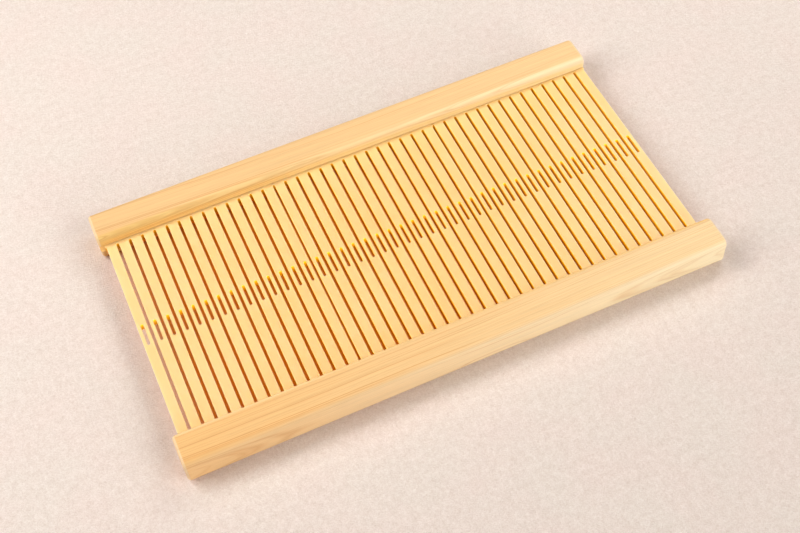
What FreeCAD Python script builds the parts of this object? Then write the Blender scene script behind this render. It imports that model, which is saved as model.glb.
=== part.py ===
import FreeCAD, Part
import os

# Rigid heddle reed of a small table loom: three moulded combs held in two grooved wooden rails.
# Units are millimetres.  The reed lies flat: X runs along the rails, Y runs from the near rail
# to the far rail, Z is up, and the origin is under the middle of the reed on the surface it lies on.

# Threads
THREAD_PITCH = 5.0          # from one slot to the next; each slat between them has one eye
SLOT_WIDTH = 1.2
SLOT_LENGTH = 89.5
EYE_WIDTH = 1.2
EYE_LENGTH = 9.7
SLATS_PER_COMB = 14

# Moulded combs
COMB_THICKNESS = 3.3
COMB_WIDTH = 69.8           # slightly under 14 pitches, so that neighbours can butt together
COMB_LENGTH = 104.0         # across the reed, with the end strips that sit in the grooves
COMBS = {                   # where each comb's middle sits: along the rails, across the reed
    "comb_left": (-70.4, 0.0),
    "comb_middle": (-0.6, 0.0),
    "comb_right": (69.3, 0.4),
}

# Wooden rails
RAIL_WIDTH = 14.0
RAIL_THICKNESS = 13.0
RAIL_GAP = 91.8             # clear opening between the two rails
RAIL_EDGE_ROUND = 2.8
RAIL_END_ROUND = 1.2
NEAR_RAIL_ENDS = (-107.1, 107.3)
FAR_RAIL_ENDS = (-107.3, 104.8)
GROOVE_DEPTH = 6.6
GROOVE_PLAY = 0.1           # gap above a comb's end strip, which lies on the groove's lower wall

REACH = 1.0                 # how far cutting solids run past the material

mid_height = RAIL_THICKNESS / 2


def box(x_from, x_to, y_from, y_to, z_from, z_to):
    """Solid box between two corners."""
    corner = FreeCAD.Vector(x_from, y_from, z_from)
    return Part.makeBox(x_to - x_from, y_to - y_from, z_to - z_from, corner)


def rail(ends, side):
    """Wooden rail with rounded edges, eased ends and a groove in its inner face.

    side is +1 for the far rail and -1 for the near rail.
    """
    left, right = ends
    inner = side * RAIL_GAP / 2
    outer = inner + side * RAIL_WIDTH
    low_y, high_y = min(inner, outer), max(inner, outer)
    bar = box(left, right, low_y, high_y, 0, RAIL_THICKNESS)

    long_edges = [edge for edge in bar.Edges if edge.BoundBox.XLength > RAIL_WIDTH]
    bar = bar.makeFillet(RAIL_EDGE_ROUND, long_edges)

    end_edges = [edge for edge in bar.Edges if edge.BoundBox.XLength < REACH]
    bar = bar.makeFillet(RAIL_END_ROUND, end_edges)

    groove_floor = inner + side * GROOVE_DEPTH
    groove_mouth = inner - side * REACH
    groove = box(
        left - REACH,
        right + REACH,
        min(groove_floor, groove_mouth),
        max(groove_floor, groove_mouth),
        mid_height - COMB_THICKNESS / 2,
        mid_height + COMB_THICKNESS / 2 + GROOVE_PLAY,
    )
    return bar.cut(groove)


def slot_cutter(x, width, length):
    """Round-ended slot through the comb, centred at x on the comb's middle line."""
    radius = width / 2
    height = COMB_THICKNESS + 2 * REACH
    z_from = -COMB_THICKNESS / 2 - REACH
    straight = length / 2 - radius
    middle = box(x - radius, x + radius, -straight, straight, z_from, z_from + height)
    far_end = Part.makeCylinder(radius, height, FreeCAD.Vector(x, straight, z_from))
    near_end = Part.makeCylinder(radius, height, FreeCAD.Vector(x, -straight, z_from))
    return middle.fuse([far_end, near_end]).removeSplitter()


def comb():
    """One moulded comb about its own middle: slats with eyes, slots between, and two end strips."""
    half_width = COMB_WIDTH / 2
    half_length = COMB_LENGTH / 2
    half_thickness = COMB_THICKNESS / 2
    plate = box(-half_width, half_width, -half_length, half_length, -half_thickness, half_thickness)

    # The first and last slots lie half in this comb and half in its neighbour.
    slot_places = [(i - SLATS_PER_COMB / 2) * THREAD_PITCH for i in range(SLATS_PER_COMB + 1)]
    eye_places = [x + THREAD_PITCH / 2 for x in slot_places[:-1]]
    slots = [slot_cutter(x, SLOT_WIDTH, SLOT_LENGTH) for x in slot_places]
    eyes = [slot_cutter(x, EYE_WIDTH, EYE_LENGTH) for x in eye_places]
    return plate.cut(slots + eyes)


def build():
    """Every piece of the reed, by name, in its place."""
    pieces = {
        "near_rail": rail(NEAR_RAIL_ENDS, -1),
        "far_rail": rail(FAR_RAIL_ENDS, +1),
    }
    one_comb = comb()
    for name, (x, y) in COMBS.items():
        pieces[name] = one_comb.translated(FreeCAD.Vector(x, y, mid_height))
    return pieces


os.makedirs("parts", exist_ok=True)
for name, shape in build().items():
    shape.exportStep("parts/" + name + ".step")
    bounds = shape.optimalBoundingBox(False, False)
    print(
        name,
        "valid" if shape.isValid() else "not valid",
        len(shape.Solids),
        "solid, volume %.0f mm3," % shape.Volume,
        "X %.2f to %.2f," % (bounds.XMin, bounds.XMax),
        "Y %.2f to %.2f," % (bounds.YMin, bounds.YMax),
        "Z %.2f to %.2f" % (bounds.ZMin, bounds.ZMax),
    )
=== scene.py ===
import math

import bpy
from mathutils import Matrix, Vector


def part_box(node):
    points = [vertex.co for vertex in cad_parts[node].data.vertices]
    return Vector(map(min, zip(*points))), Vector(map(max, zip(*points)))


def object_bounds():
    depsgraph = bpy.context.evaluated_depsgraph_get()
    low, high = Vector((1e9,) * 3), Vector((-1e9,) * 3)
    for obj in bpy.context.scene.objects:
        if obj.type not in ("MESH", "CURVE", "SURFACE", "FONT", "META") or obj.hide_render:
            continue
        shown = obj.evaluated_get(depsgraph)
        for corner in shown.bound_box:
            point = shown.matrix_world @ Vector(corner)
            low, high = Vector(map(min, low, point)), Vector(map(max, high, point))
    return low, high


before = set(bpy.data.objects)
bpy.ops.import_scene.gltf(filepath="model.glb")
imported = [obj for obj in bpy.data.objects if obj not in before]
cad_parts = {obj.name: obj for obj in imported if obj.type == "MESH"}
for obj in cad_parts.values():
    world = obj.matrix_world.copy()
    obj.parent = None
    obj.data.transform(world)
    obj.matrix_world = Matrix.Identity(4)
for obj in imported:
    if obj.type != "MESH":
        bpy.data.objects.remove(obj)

# Looks for a rigid heddle reed: three moulded combs in two wooden rails, lying on a pale floor.
# Metres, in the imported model's frame.  Textures are worked out in millimetres of that frame.

cad_low, cad_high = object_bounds()

COMBS = ("comb_left", "comb_middle", "comb_right")
MM_PER_M = 1000.0
FLOOR_LIGHT = 3.95                      # watts on a square metre where the softboxes aim
SOFTBOX_WIDTH = 0.50                    # as a share of the softbox's distance
AMBIENT = 0.04
LAMP_TINT = (1.0, 0.985, 0.96)
AMBIENT_TINT = (1.0, 0.98, 0.96)
BLACK = (0.0, 0.0, 0.0)


def mm(metres):
    return metres * MM_PER_M


# Millimetres from the model's middle, and above the floor.
rail_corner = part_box("near_rail")[1]
comb_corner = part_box("comb_middle")[1]
RAIL_END = mm(rail_corner.x)
RAIL_TOP = mm(rail_corner.z)
COMB_EDGE = mm(comb_corner.y)           # hidden in a rail's groove
COMB_TOP = mm(comb_corner.z)


# ---------------------------------------------------------------------- node graphs

class Graph:
    """A material's node tree, with one short call for each kind of node used here."""

    def __init__(self, name):
        self.material = bpy.data.materials.new(name)
        self.material.use_nodes = True
        self.tree = self.material.node_tree
        self.tree.nodes.clear()

    def node(self, kind, **settings):
        made = self.tree.nodes.new("ShaderNode" + kind)
        for key, value in settings.items():
            setattr(made, key, value)
        return made

    def feed(self, socket, value):
        """Link a socket to another node's output, or give it a plain value."""
        if isinstance(value, bpy.types.NodeSocket):
            self.tree.links.new(value, socket)
        elif isinstance(value, tuple) and socket.type == "RGBA":
            socket.default_value = (*value, 1.0)
        else:
            socket.default_value = value

    def math(self, operation, *values):
        made = self.node("Math", operation=operation)
        for socket, value in zip(made.inputs, values):
            self.feed(socket, value)
        return made.outputs[0]

    def vector(self, operation, *values):
        made = self.node("VectorMath", operation=operation)
        for socket, value in zip(made.inputs, values):
            self.feed(socket, value)
        return made.outputs[0]

    def split(self, vector):
        """A vector's x, y and z."""
        made = self.node("SeparateXYZ")
        self.feed(made.inputs[0], vector)
        return made.outputs

    def place(self):
        """The surface point in the model's frame, in millimetres."""
        metres = self.node("TexCoord").outputs["Object"]
        return self.vector("MULTIPLY", metres, (MM_PER_M, MM_PER_M, MM_PER_M))

    def facing(self):
        """The x, y and z of the direction that the surface faces."""
        return self.split(self.node("NewGeometry").outputs["Normal"])

    def noise(self, where, stretch, detail, roughness, shift, output="Fac"):
        """Noise whose blobs are about 1/stretch millimetres long on each axis."""
        made = self.node("TexNoise", noise_dimensions="3D")
        moved = self.vector("MULTIPLY_ADD", where, stretch, (shift, shift, shift))
        self.feed(made.inputs["Vector"], moved)
        self.feed(made.inputs["Scale"], 1.0)
        self.feed(made.inputs["Detail"], detail)
        self.feed(made.inputs["Roughness"], roughness)
        return made.outputs[output]

    def remap(self, value, low, high, new_low=0.0, new_high=1.0, smooth=False):
        """A value that goes from new_low at low to new_high at high, and no further."""
        made = self.node("MapRange", clamp=True)
        made.interpolation_type = "SMOOTHSTEP" if smooth else "LINEAR"
        for socket, number in zip(made.inputs, (value, low, high, new_low, new_high)):
            self.feed(socket, number)
        return made.outputs[0]

    def curve(self, value, *points):
        """A value that follows straight runs through (place, value) points."""
        made = self.node("ValToRGB")
        self.feed(made.inputs[0], value)
        elements = made.color_ramp.elements
        while len(elements) < len(points):
            elements.new(0.5)
        for element, (place, level) in zip(elements, points):
            element.position = place
            element.color = (level, level, level, 1.0)
        return made.outputs[0]

    def mix(self, amount, a, b, blend="MIX"):
        """Colour a where the amount is 0 and b, or a blended with b, where it is 1."""
        made = self.node("Mix", data_type="RGBA", blend_type=blend, clamp_factor=True)
        self.feed(made.inputs[0], amount)
        self.feed(made.inputs[6], a)
        self.feed(made.inputs[7], b)
        return made.outputs[2]

    def bump(self, height, depth):
        """Relief whose height runs from 0 to 1 over a depth in metres."""
        made = self.node("Bump")
        self.feed(made.inputs["Strength"], 1.0)
        self.feed(made.inputs["Distance"], depth)
        self.feed(made.inputs["Height"], height)
        return made.outputs[0]

    def principled(self, **values):
        made = self.node("BsdfPrincipled")
        for key, value in values.items():
            self.feed(made.inputs[key.replace("_", " ")], value)
        output = self.node("OutputMaterial")
        self.tree.links.new(made.outputs[0], output.inputs["Surface"])


# ---------------------------------------------------------------------- wood

BOW_SPAN = 100.0                        # millimetres from the middle at which bow is measured
RIPPLE = 0.11                           # millimetres, like the next three
LINE_WIDTH = 0.22                       # half of a dark ring, with its soft edge
LINE_CORE = 0.04
LINE_FADE = 30.0
RING_UNEVENNESS = 1.6                   # in rings
RING_CONTRAST = 0.74
# strength of the painted highlight on the eased rims
RIM_HIGHLIGHT_STRENGTH = 0.55
LATE_TINT = (0.74, 0.52, 0.33)
END_GRAIN_TINT = (0.90, 0.80, 0.68)
# colour of the painted highlight on the eased rims
EASED_RIM_HIGHLIGHT = (0.96, 0.76, 0.50)
WOOD_RELIEF = 0.00003                   # metres


def wood(name, pith, bow, wander, ring_width, seed, top, sides, lip, dark_rings):
    """Sawn softwood whose growth rings circle a line beside the rail, running along X.

    pith is that line's (y, z) at the rail's middle, bow how far it has moved at BOW_SPAN from there,
    and wander how far the grain strays, all in millimetres.  top, sides and lip (the edge over the
    slats) are colours at its left and right ends: top is the wood's own, while sides and lip are
    partly the wood's and partly painted light and shade, set to how light falls on those faces.
    dark_rings are (distance from the pith, x where it fades out, strength) of rings that show more
    than the rest.
    """
    graph = Graph(name)
    place = graph.place()
    x, y, z = graph.split(place)

    # The line wanders and ripples along the rail.
    stray = graph.noise(place, (0.012, 0.05, 0.05), 2.0, 0.5, seed, "Color")
    stray = graph.vector("MULTIPLY_ADD", stray, (0.0, 2.0 * wander, 2.0 * wander),
                         (0.0, -wander, -wander))
    ripple = graph.noise(place, (0.06, 0.4, 0.4), 2.0, 0.5, seed + 7.0, "Color")
    ripple = graph.vector("MULTIPLY_ADD", ripple, (0.0, 2.0 * RIPPLE, 2.0 * RIPPLE),
                          (0.0, -RIPPLE, -RIPPLE))
    bent = graph.split(graph.vector("ADD", graph.vector("ADD", place, stray), ripple))
    arch = graph.math("MULTIPLY", graph.math("MULTIPLY", bent[0], bent[0]), BOW_SPAN ** -2)
    across = graph.math("SUBTRACT", bent[1], graph.math("MULTIPLY_ADD", arch, bow[0], pith[0]))
    up = graph.math("SUBTRACT", bent[2], graph.math("MULTIPLY_ADD", arch, bow[1], pith[1]))
    squares = graph.math("MULTIPLY_ADD", across, across, graph.math("MULTIPLY", up, up))
    radius = graph.math("SQRT", squares)

    # Rings of uneven width and strength, each darkening slowly and ending sharply.
    uneven = graph.node("TexNoise", noise_dimensions="1D")
    graph.feed(uneven.inputs["W"], graph.math("MULTIPLY_ADD", radius, 0.35, seed))
    graph.feed(uneven.inputs["Detail"], 1.0)
    ring = graph.math("DIVIDE", radius, ring_width)
    ring = graph.math("MULTIPLY_ADD", uneven.outputs["Fac"], RING_UNEVENNESS, ring)
    chance = graph.node("TexWhiteNoise", noise_dimensions="1D")
    graph.feed(chance.inputs["W"], graph.math("FLOOR", ring))
    strength = graph.remap(chance.outputs["Value"], 0.0, 1.0, 0.3, 1.0)
    patches = graph.noise(place, (0.03, 0.5, 0.5), 2.0, 0.5, seed + 37.0)
    strength = graph.math("MULTIPLY", strength, graph.remap(patches, 0.35, 0.6, 0.5, 1.0))
    latewood = graph.curve(graph.math("FRACT", ring), (0.0, 0.10), (0.06, 0.0), (0.66, 0.03),
                           (0.90, 1.0), (1.0, 0.10))
    rings = graph.math("MULTIPLY", latewood, strength)
    for distance, fade_x, weight in dark_rings:
        away = graph.math("ABSOLUTE", graph.math("SUBTRACT", radius, distance))
        line = graph.remap(away, LINE_WIDTH, LINE_CORE, 0.0, weight, smooth=True)
        shown = graph.remap(bent[0], fade_x, fade_x - LINE_FADE, smooth=True)
        rings = graph.math("MAXIMUM", rings, graph.math("MULTIPLY", line, shown))

    fibre = graph.noise(place, (0.09, 5.0, 5.0), 4.0, 0.7, seed + 3.0)
    streak = graph.noise(place, (0.02, 0.9, 0.9), 3.0, 0.6, seed + 11.0)
    drift = graph.noise(place, (0.02, 0.12, 0.12), 2.0, 0.5, seed + 19.0)
    fleck = graph.noise(place, (0.22, 6.0, 6.0), 1.0, 0.5, seed + 29.0)
    fleck = graph.remap(fleck, 0.70, 0.80, smooth=True)

    # From the left end to the right one, and from the flat top down into the sides, whose paler
    # colour is partly painted light.
    rightward = graph.remap(graph.math("MULTIPLY_ADD", drift, 60.0, x), -70.0, 130.0)
    sideward = graph.math("MULTIPLY_ADD", drift, 0.8, z)
    sideward = graph.remap(sideward, RAIL_TOP + 0.3, RAIL_TOP - 1.2, smooth=True)
    early = graph.mix(sideward, graph.mix(rightward, *top), graph.mix(rightward, *sides))

    # The edge over the slats has a colour of its own, which is partly painted light and shade on its
    # rounding.
    inner = graph.remap(graph.math("ABSOLUTE", y), COMB_EDGE - 3.6, COMB_EDGE - 5.0, smooth=True)
    upper = graph.remap(z, RAIL_TOP - 3.2, RAIL_TOP - 1.6, smooth=True)
    painted_lip_light = graph.math("MULTIPLY", inner, upper)
    early = graph.mix(painted_lip_light, early, graph.mix(rightward, *lip))
    late = graph.mix(1.0, early, LATE_TINT, "MULTIPLY")
    colour = graph.mix(graph.math("MULTIPLY", rings, RING_CONTRAST), early, late)
    shade = graph.remap(streak, 0.3, 0.7, 0.95, 1.05)
    shade = graph.math("MULTIPLY", shade, graph.remap(fibre, 0.3, 0.7, 0.94, 1.06))
    shade = graph.math("MULTIPLY", shade, graph.remap(fleck, 0.0, 1.0, 1.0, 0.88))
    colour = graph.mix(1.0, colour, shade, "MULTIPLY")

    # The two ends are darker, and the eased edge around each is painted paler, a painted highlight.
    endward = graph.math("ABSOLUTE", graph.facing()[0])
    end_grain = graph.remap(endward, 0.93, 0.99, smooth=True)
    rim_highlight = graph.remap(endward, 0.05, 0.45, smooth=True)
    rim_highlight = graph.math("MULTIPLY", rim_highlight, graph.math("SUBTRACT", 1.0, end_grain))
    colour = graph.mix(graph.math("MULTIPLY", rim_highlight, RIM_HIGHLIGHT_STRENGTH), colour, EASED_RIM_HIGHLIGHT)
    colour = graph.mix(end_grain, colour, graph.mix(1.0, colour, END_GRAIN_TINT, "MULTIPLY"))

    rough = graph.remap(rings, 0.0, 1.0, 0.60, 0.50)
    rough = graph.math("MULTIPLY_ADD", end_grain, 0.15, rough)
    relief = graph.math("MULTIPLY_ADD", fibre, 0.5, graph.math("MULTIPLY", rings, 0.35))
    relief = graph.math("MULTIPLY_ADD", fleck, -0.4, relief)
    graph.principled(Base_Color=colour, Roughness=rough, Specular_IOR_Level=0.35,
                     Normal=graph.bump(relief, WOOD_RELIEF))
    return graph.material


# ---------------------------------------------------------------------- plastic

FACE_DARK = (0.955, 0.615, 0.250)       # the slats' tops and the combs' undersides
FACE_PALE = (0.965, 0.655, 0.300)
# the undersides, painted a deeper orange than the tops for the light that comes through the plastic
UNDERSIDE = (0.955, 0.585, 0.130)
WALL_SHADE_DEPTHS = (0.3, 2.6)               # millimetres below the top over which painted shade darkens the walls
WALL_NEAR_TOP = (0.97, 0.62, 0.02)      # the slots' and eyes' walls, painted orange for the light that comes through the plastic
# painted shade deep down in the slots and eyes
WALL_PAINTED_SHADE_DEEP = (0.42, 0.11, 0.0)
# painted shade on the slots' end walls under the rails
WALL_PAINTED_SHADE_UNDER_LIP = (0.62, 0.27, 0.05)
# Painted glow: fixed emission that stands in for light that comes through the plastic.
WALL_GLOW = ((0.19, 0.080, 0.0), (0.02, 0.002, 0.0))            # near the top, and deep down
END_WALL_GLOW = ((0.74, 0.44, 0.02), (0.50, 0.22, 0.0))
UNDERSIDE_GLOW = (0.46, 0.125, 0.0)
SHADED_GLOW = (0.03, 0.008, 0.0)
UNLIT_EDGE, EDGE_FADE = 6.3, 3.0        # millimetres at each rail with SHADED_GLOW alone
UNLIT_END, END_FADE = 2.0, 9.0          # and of underside at the reed's two ends with no glow
SCATTER = 0.0018                        # metres, like the next two
GRIT_RELIEF = 0.000006
MOULDED_RADIUS = 0.00026


def moulded_plastic(name, seed):
    """Butter-yellow moulded plastic whose slots, eyes and underside glow orange.

    Light that has come down through the slats leaves by their walls and underside, mostly as red.
    Part of it is a fixed painted glow of their own, because so few light paths find the way, and
    the walls and underside are painted orange for that light, the walls darker deeper down and
    under the rails as painted shade.
    """
    graph = Graph(name)
    place = graph.place()
    x, y, z = graph.split(place)
    facing = graph.facing()
    inward = graph.remap(facing[2], 0.95, 0.40, smooth=True)
    frontward = graph.remap(facing[1], -0.2, -0.8, smooth=True)
    downward = graph.remap(facing[2], -0.35, -0.85, smooth=True)
    deep = graph.remap(graph.math("SUBTRACT", COMB_TOP, z), *WALL_SHADE_DEPTHS)

    # Little light comes down under the rails, and it spreads out past the reed's two ends.
    unlit_y = COMB_EDGE - UNLIT_EDGE
    unlit_x = RAIL_END - UNLIT_END
    lit_across = graph.remap(graph.math("ABSOLUTE", y), unlit_y, unlit_y - EDGE_FADE)
    lit_along = graph.remap(graph.math("ABSOLUTE", x), unlit_x, unlit_x - END_FADE)

    # The tops are cloudy, and painted a little darker towards the right as painted shade.
    cloud_and_shade = graph.noise(place, (0.05, 0.05, 0.05), 2.0, 0.5, seed)
    cloud_and_shade = graph.math("MULTIPLY_ADD", x, -0.002, cloud_and_shade)
    face = graph.mix(graph.remap(cloud_and_shade, 0.2, 0.8), FACE_DARK, FACE_PALE)
    # Painted shade on the slots' end walls under the rails' lips.
    under_lip = graph.math("MULTIPLY", frontward, graph.math("SUBTRACT", 1.0, lit_across))
    # Painted shade: the walls darken deeper down.
    wall = graph.mix(deep, WALL_NEAR_TOP, WALL_PAINTED_SHADE_DEEP)
    wall = graph.mix(under_lip, wall, WALL_PAINTED_SHADE_UNDER_LIP)
    colour = graph.mix(inward, face, wall)
    colour = graph.mix(downward, colour, UNDERSIDE)

    # Painted glow on the walls, end walls and underside, kept low under the rails.
    wall_glow = graph.mix(frontward, graph.mix(deep, *WALL_GLOW), graph.mix(deep, *END_WALL_GLOW))
    under_glow = graph.mix(lit_along, BLACK, UNDERSIDE_GLOW)
    glow = graph.mix(inward, BLACK, graph.mix(lit_across, SHADED_GLOW, wall_glow))
    glow = graph.mix(downward, glow, graph.mix(lit_across, SHADED_GLOW, under_glow))

    grit = graph.noise(place, (6.0, 6.0, 6.0), 3.0, 0.6, seed + 5.0)
    flow = graph.noise(place, (0.5, 0.02, 0.5), 2.0, 0.5, seed + 9.0)
    rough = graph.remap(flow, 0.3, 0.7, 0.36, 0.46)
    graph.principled(Base_Color=colour, Roughness=rough, IOR=1.5, Subsurface_Weight=1.0,
                     Subsurface_Radius=(1.0, 1.0, 1.0), Subsurface_Scale=SCATTER,
                     Emission_Color=glow, Emission_Strength=1.0, Normal=graph.bump(grit, GRIT_RELIEF))
    return graph.material


def round_edges(piece):
    """The small radius that moulding leaves on every edge of a comb."""
    bevel = piece.modifiers.new("moulded edges", "BEVEL")
    bevel.width = MOULDED_RADIUS
    bevel.segments = 2
    bevel.limit_method = "ANGLE"
    bevel.angle_limit = math.radians(50.0)
    bevel.harden_normals = True


# ---------------------------------------------------------------------- floor

FLOOR_SIZE = 6.0                        # metres
CLOTH_TURN = 38.0                       # degrees from the reed's length to the cloth's weft
CLOTH_DARK = (0.752, 0.617, 0.542)
CLOTH_PALE = (0.968, 0.862, 0.803)
PINK_TINT = (1.0, 0.985, 0.985)
CREAM_TINT = (0.985, 1.0, 0.995)
CLOTH_RELIEF = 0.0007                   # metres


def floor_material():
    """Pale felted cloth: soft mottling, slow changes of tint, and fine fibres two ways."""
    graph = Graph("pale_floor")
    place = graph.place()
    mottle = graph.noise(place, (0.35, 0.35, 0.35), 5.0, 0.85, 1.0)
    turned = graph.node("Mapping", vector_type="POINT")
    graph.feed(turned.inputs["Vector"], place)
    turned.inputs["Rotation"].default_value = (0.0, 0.0, math.radians(CLOTH_TURN))
    weft = graph.noise(turned.outputs[0], (0.9, 2.6, 1.0), 2.0, 0.8, 4.0)
    warp = graph.noise(turned.outputs[0], (2.6, 0.9, 1.0), 2.0, 0.8, 9.0)
    fibres = graph.math("MULTIPLY_ADD", weft, 0.55, graph.math("MULTIPLY", warp, 0.45))
    tone = graph.math("MULTIPLY_ADD", fibres, 0.62, graph.math("MULTIPLY", mottle, 0.38))
    colour = graph.mix(graph.remap(tone, 0.38, 0.62), CLOTH_DARK, CLOTH_PALE)
    tint = graph.noise(place, (0.04, 0.04, 0.04), 2.0, 0.5, 21.0)
    tint = graph.mix(graph.remap(tint, 0.35, 0.65), PINK_TINT, CREAM_TINT)
    colour = graph.mix(1.0, colour, tint, "MULTIPLY")
    graph.principled(Base_Color=colour, Roughness=0.9, Specular_IOR_Level=0.2,
                     Normal=graph.bump(fibres, CLOTH_RELIEF))
    return graph.material


def make_floor():
    bpy.ops.mesh.primitive_plane_add(size=FLOOR_SIZE, location=(0.0, 0.0, cad_low.z))
    floor = bpy.context.object
    floor.name = "floor"
    floor.data.materials.append(floor_material())


# ---------------------------------------------------------------------- light and camera

def softbox(name, azimuth, elevation, distance, share):
    """Round soft light aimed at the reed, which gives its share of the light on the floor.

    Azimuth turns from +X towards +Y.
    """
    turn, rise = math.radians(azimuth), math.radians(elevation)
    towards = Vector((math.cos(turn) * math.cos(rise), math.sin(turn) * math.cos(rise),
                      math.sin(rise)))
    data = bpy.data.lights.new(name, "AREA")
    data.shape = "DISK"
    data.size = SOFTBOX_WIDTH * distance
    data.energy = share * FLOOR_LIGHT * math.pi * distance ** 2 / math.sin(rise)
    data.color = LAMP_TINT
    light = bpy.data.objects.new(name, data)
    light.location = distance * towards
    light.rotation_euler = towards.to_track_quat("Z", "Y").to_euler()
    bpy.context.scene.collection.objects.link(light)


def make_light():
    world = bpy.data.worlds.new("studio")
    world.use_nodes = True
    background = world.node_tree.nodes["Background"]
    background.inputs["Color"].default_value = (*AMBIENT_TINT, 1.0)
    background.inputs["Strength"].default_value = AMBIENT
    bpy.context.scene.world = world

    # Azimuth and elevation in degrees, distance in metres, share of FLOOR_LIGHT.
    softbox("left_softbox", 172.0, 34.0, 0.92, 0.205)
    softbox("back_left_softbox", 140.0, 51.0, 0.76, 0.30)
    softbox("back_right_softbox", 32.0, 46.0, 0.56, 0.18)
    softbox("front_right_softbox", 325.0, 34.0, 1.2, 0.12)
    softbox("front_softbox", 304.0, 42.0, 1.6, 0.09)
    softbox("low_front_softbox", 295.0, 14.0, 1.4, 0.075)


def make_camera():
    """A camera in front of the reed and above it, turned a little about its own axis."""
    azimuth = math.radians(-19.55)
    elevation = math.radians(55.18)
    roll = math.radians(-5.30)
    distance = 0.4788
    target = Vector((-0.0057, -0.0122, 0.0065))
    back = Vector((math.sin(azimuth) * math.cos(elevation),
                   -math.cos(azimuth) * math.cos(elevation),
                   math.sin(elevation)))
    data = bpy.data.cameras.new("camera")
    data.sensor_width = 36.0
    data.lens = 56.88
    data.clip_start = 0.01
    camera = bpy.data.objects.new("camera", data)
    camera.location = target + distance * back
    level_right = Vector((math.cos(azimuth), math.sin(azimuth), 0.0))
    level_up = back.cross(level_right)
    right = math.cos(roll) * level_right + math.sin(roll) * level_up
    up = back.cross(right)
    camera.rotation_euler = Matrix((right, up, back)).transposed().to_euler()
    bpy.context.scene.collection.objects.link(camera)
    bpy.context.scene.camera = camera


# ---------------------------------------------------------------------- the scene

make_camera()
make_light()
make_floor()

# The sides' and lips' colours below are partly painted light and shade.
near_wood = wood("near_rail_wood", pith=(-92.0, 6.5), bow=(1.2, 0.0), wander=0.8,
                 ring_width=0.75, seed=3.0,
                 top=((0.86, 0.51, 0.20), (0.905, 0.645, 0.345)),
                 sides=((0.90, 0.575, 0.27), (0.97, 0.82, 0.54)),
                 lip=((0.96, 0.655, 0.33), (0.95, 0.605, 0.24)),
                 dark_rings=((38.6, 10.0, 1.0), (34.8, 20.0, 1.0), (34.1, -10.0, 0.9),
                             (33.6, -40.0, 0.6)))
far_wood = wood("far_rail_wood", pith=(66.5, -8.0), bow=(0.9, -0.9), wander=0.4,
                ring_width=0.8, seed=41.0,
                top=((0.82, 0.515, 0.23), (0.89, 0.58, 0.28)),
                sides=((0.93, 0.61, 0.21), (0.96, 0.78, 0.43)),
                lip=((0.83, 0.56, 0.20), (0.97, 0.75, 0.47)),
                dark_rings=((28.3, -20.0, 0.8), (27.9, 0.0, 0.7), (23.6, -20.0, 0.6),
                            (28.85, 0.0, 0.5), (29.2, 0.0, 0.45), (29.5, 0.0, 0.45)))
plastic = moulded_plastic("comb_plastic", 13.0)

for node, material in (("near_rail", near_wood), ("far_rail", far_wood),
                       *((comb, plastic) for comb in COMBS)):
    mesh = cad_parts[node].data
    mesh.materials.clear()
    mesh.materials.append(material)
for comb in COMBS:
    round_edges(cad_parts[comb])

bpy.context.scene.view_settings.view_transform = "Standard"
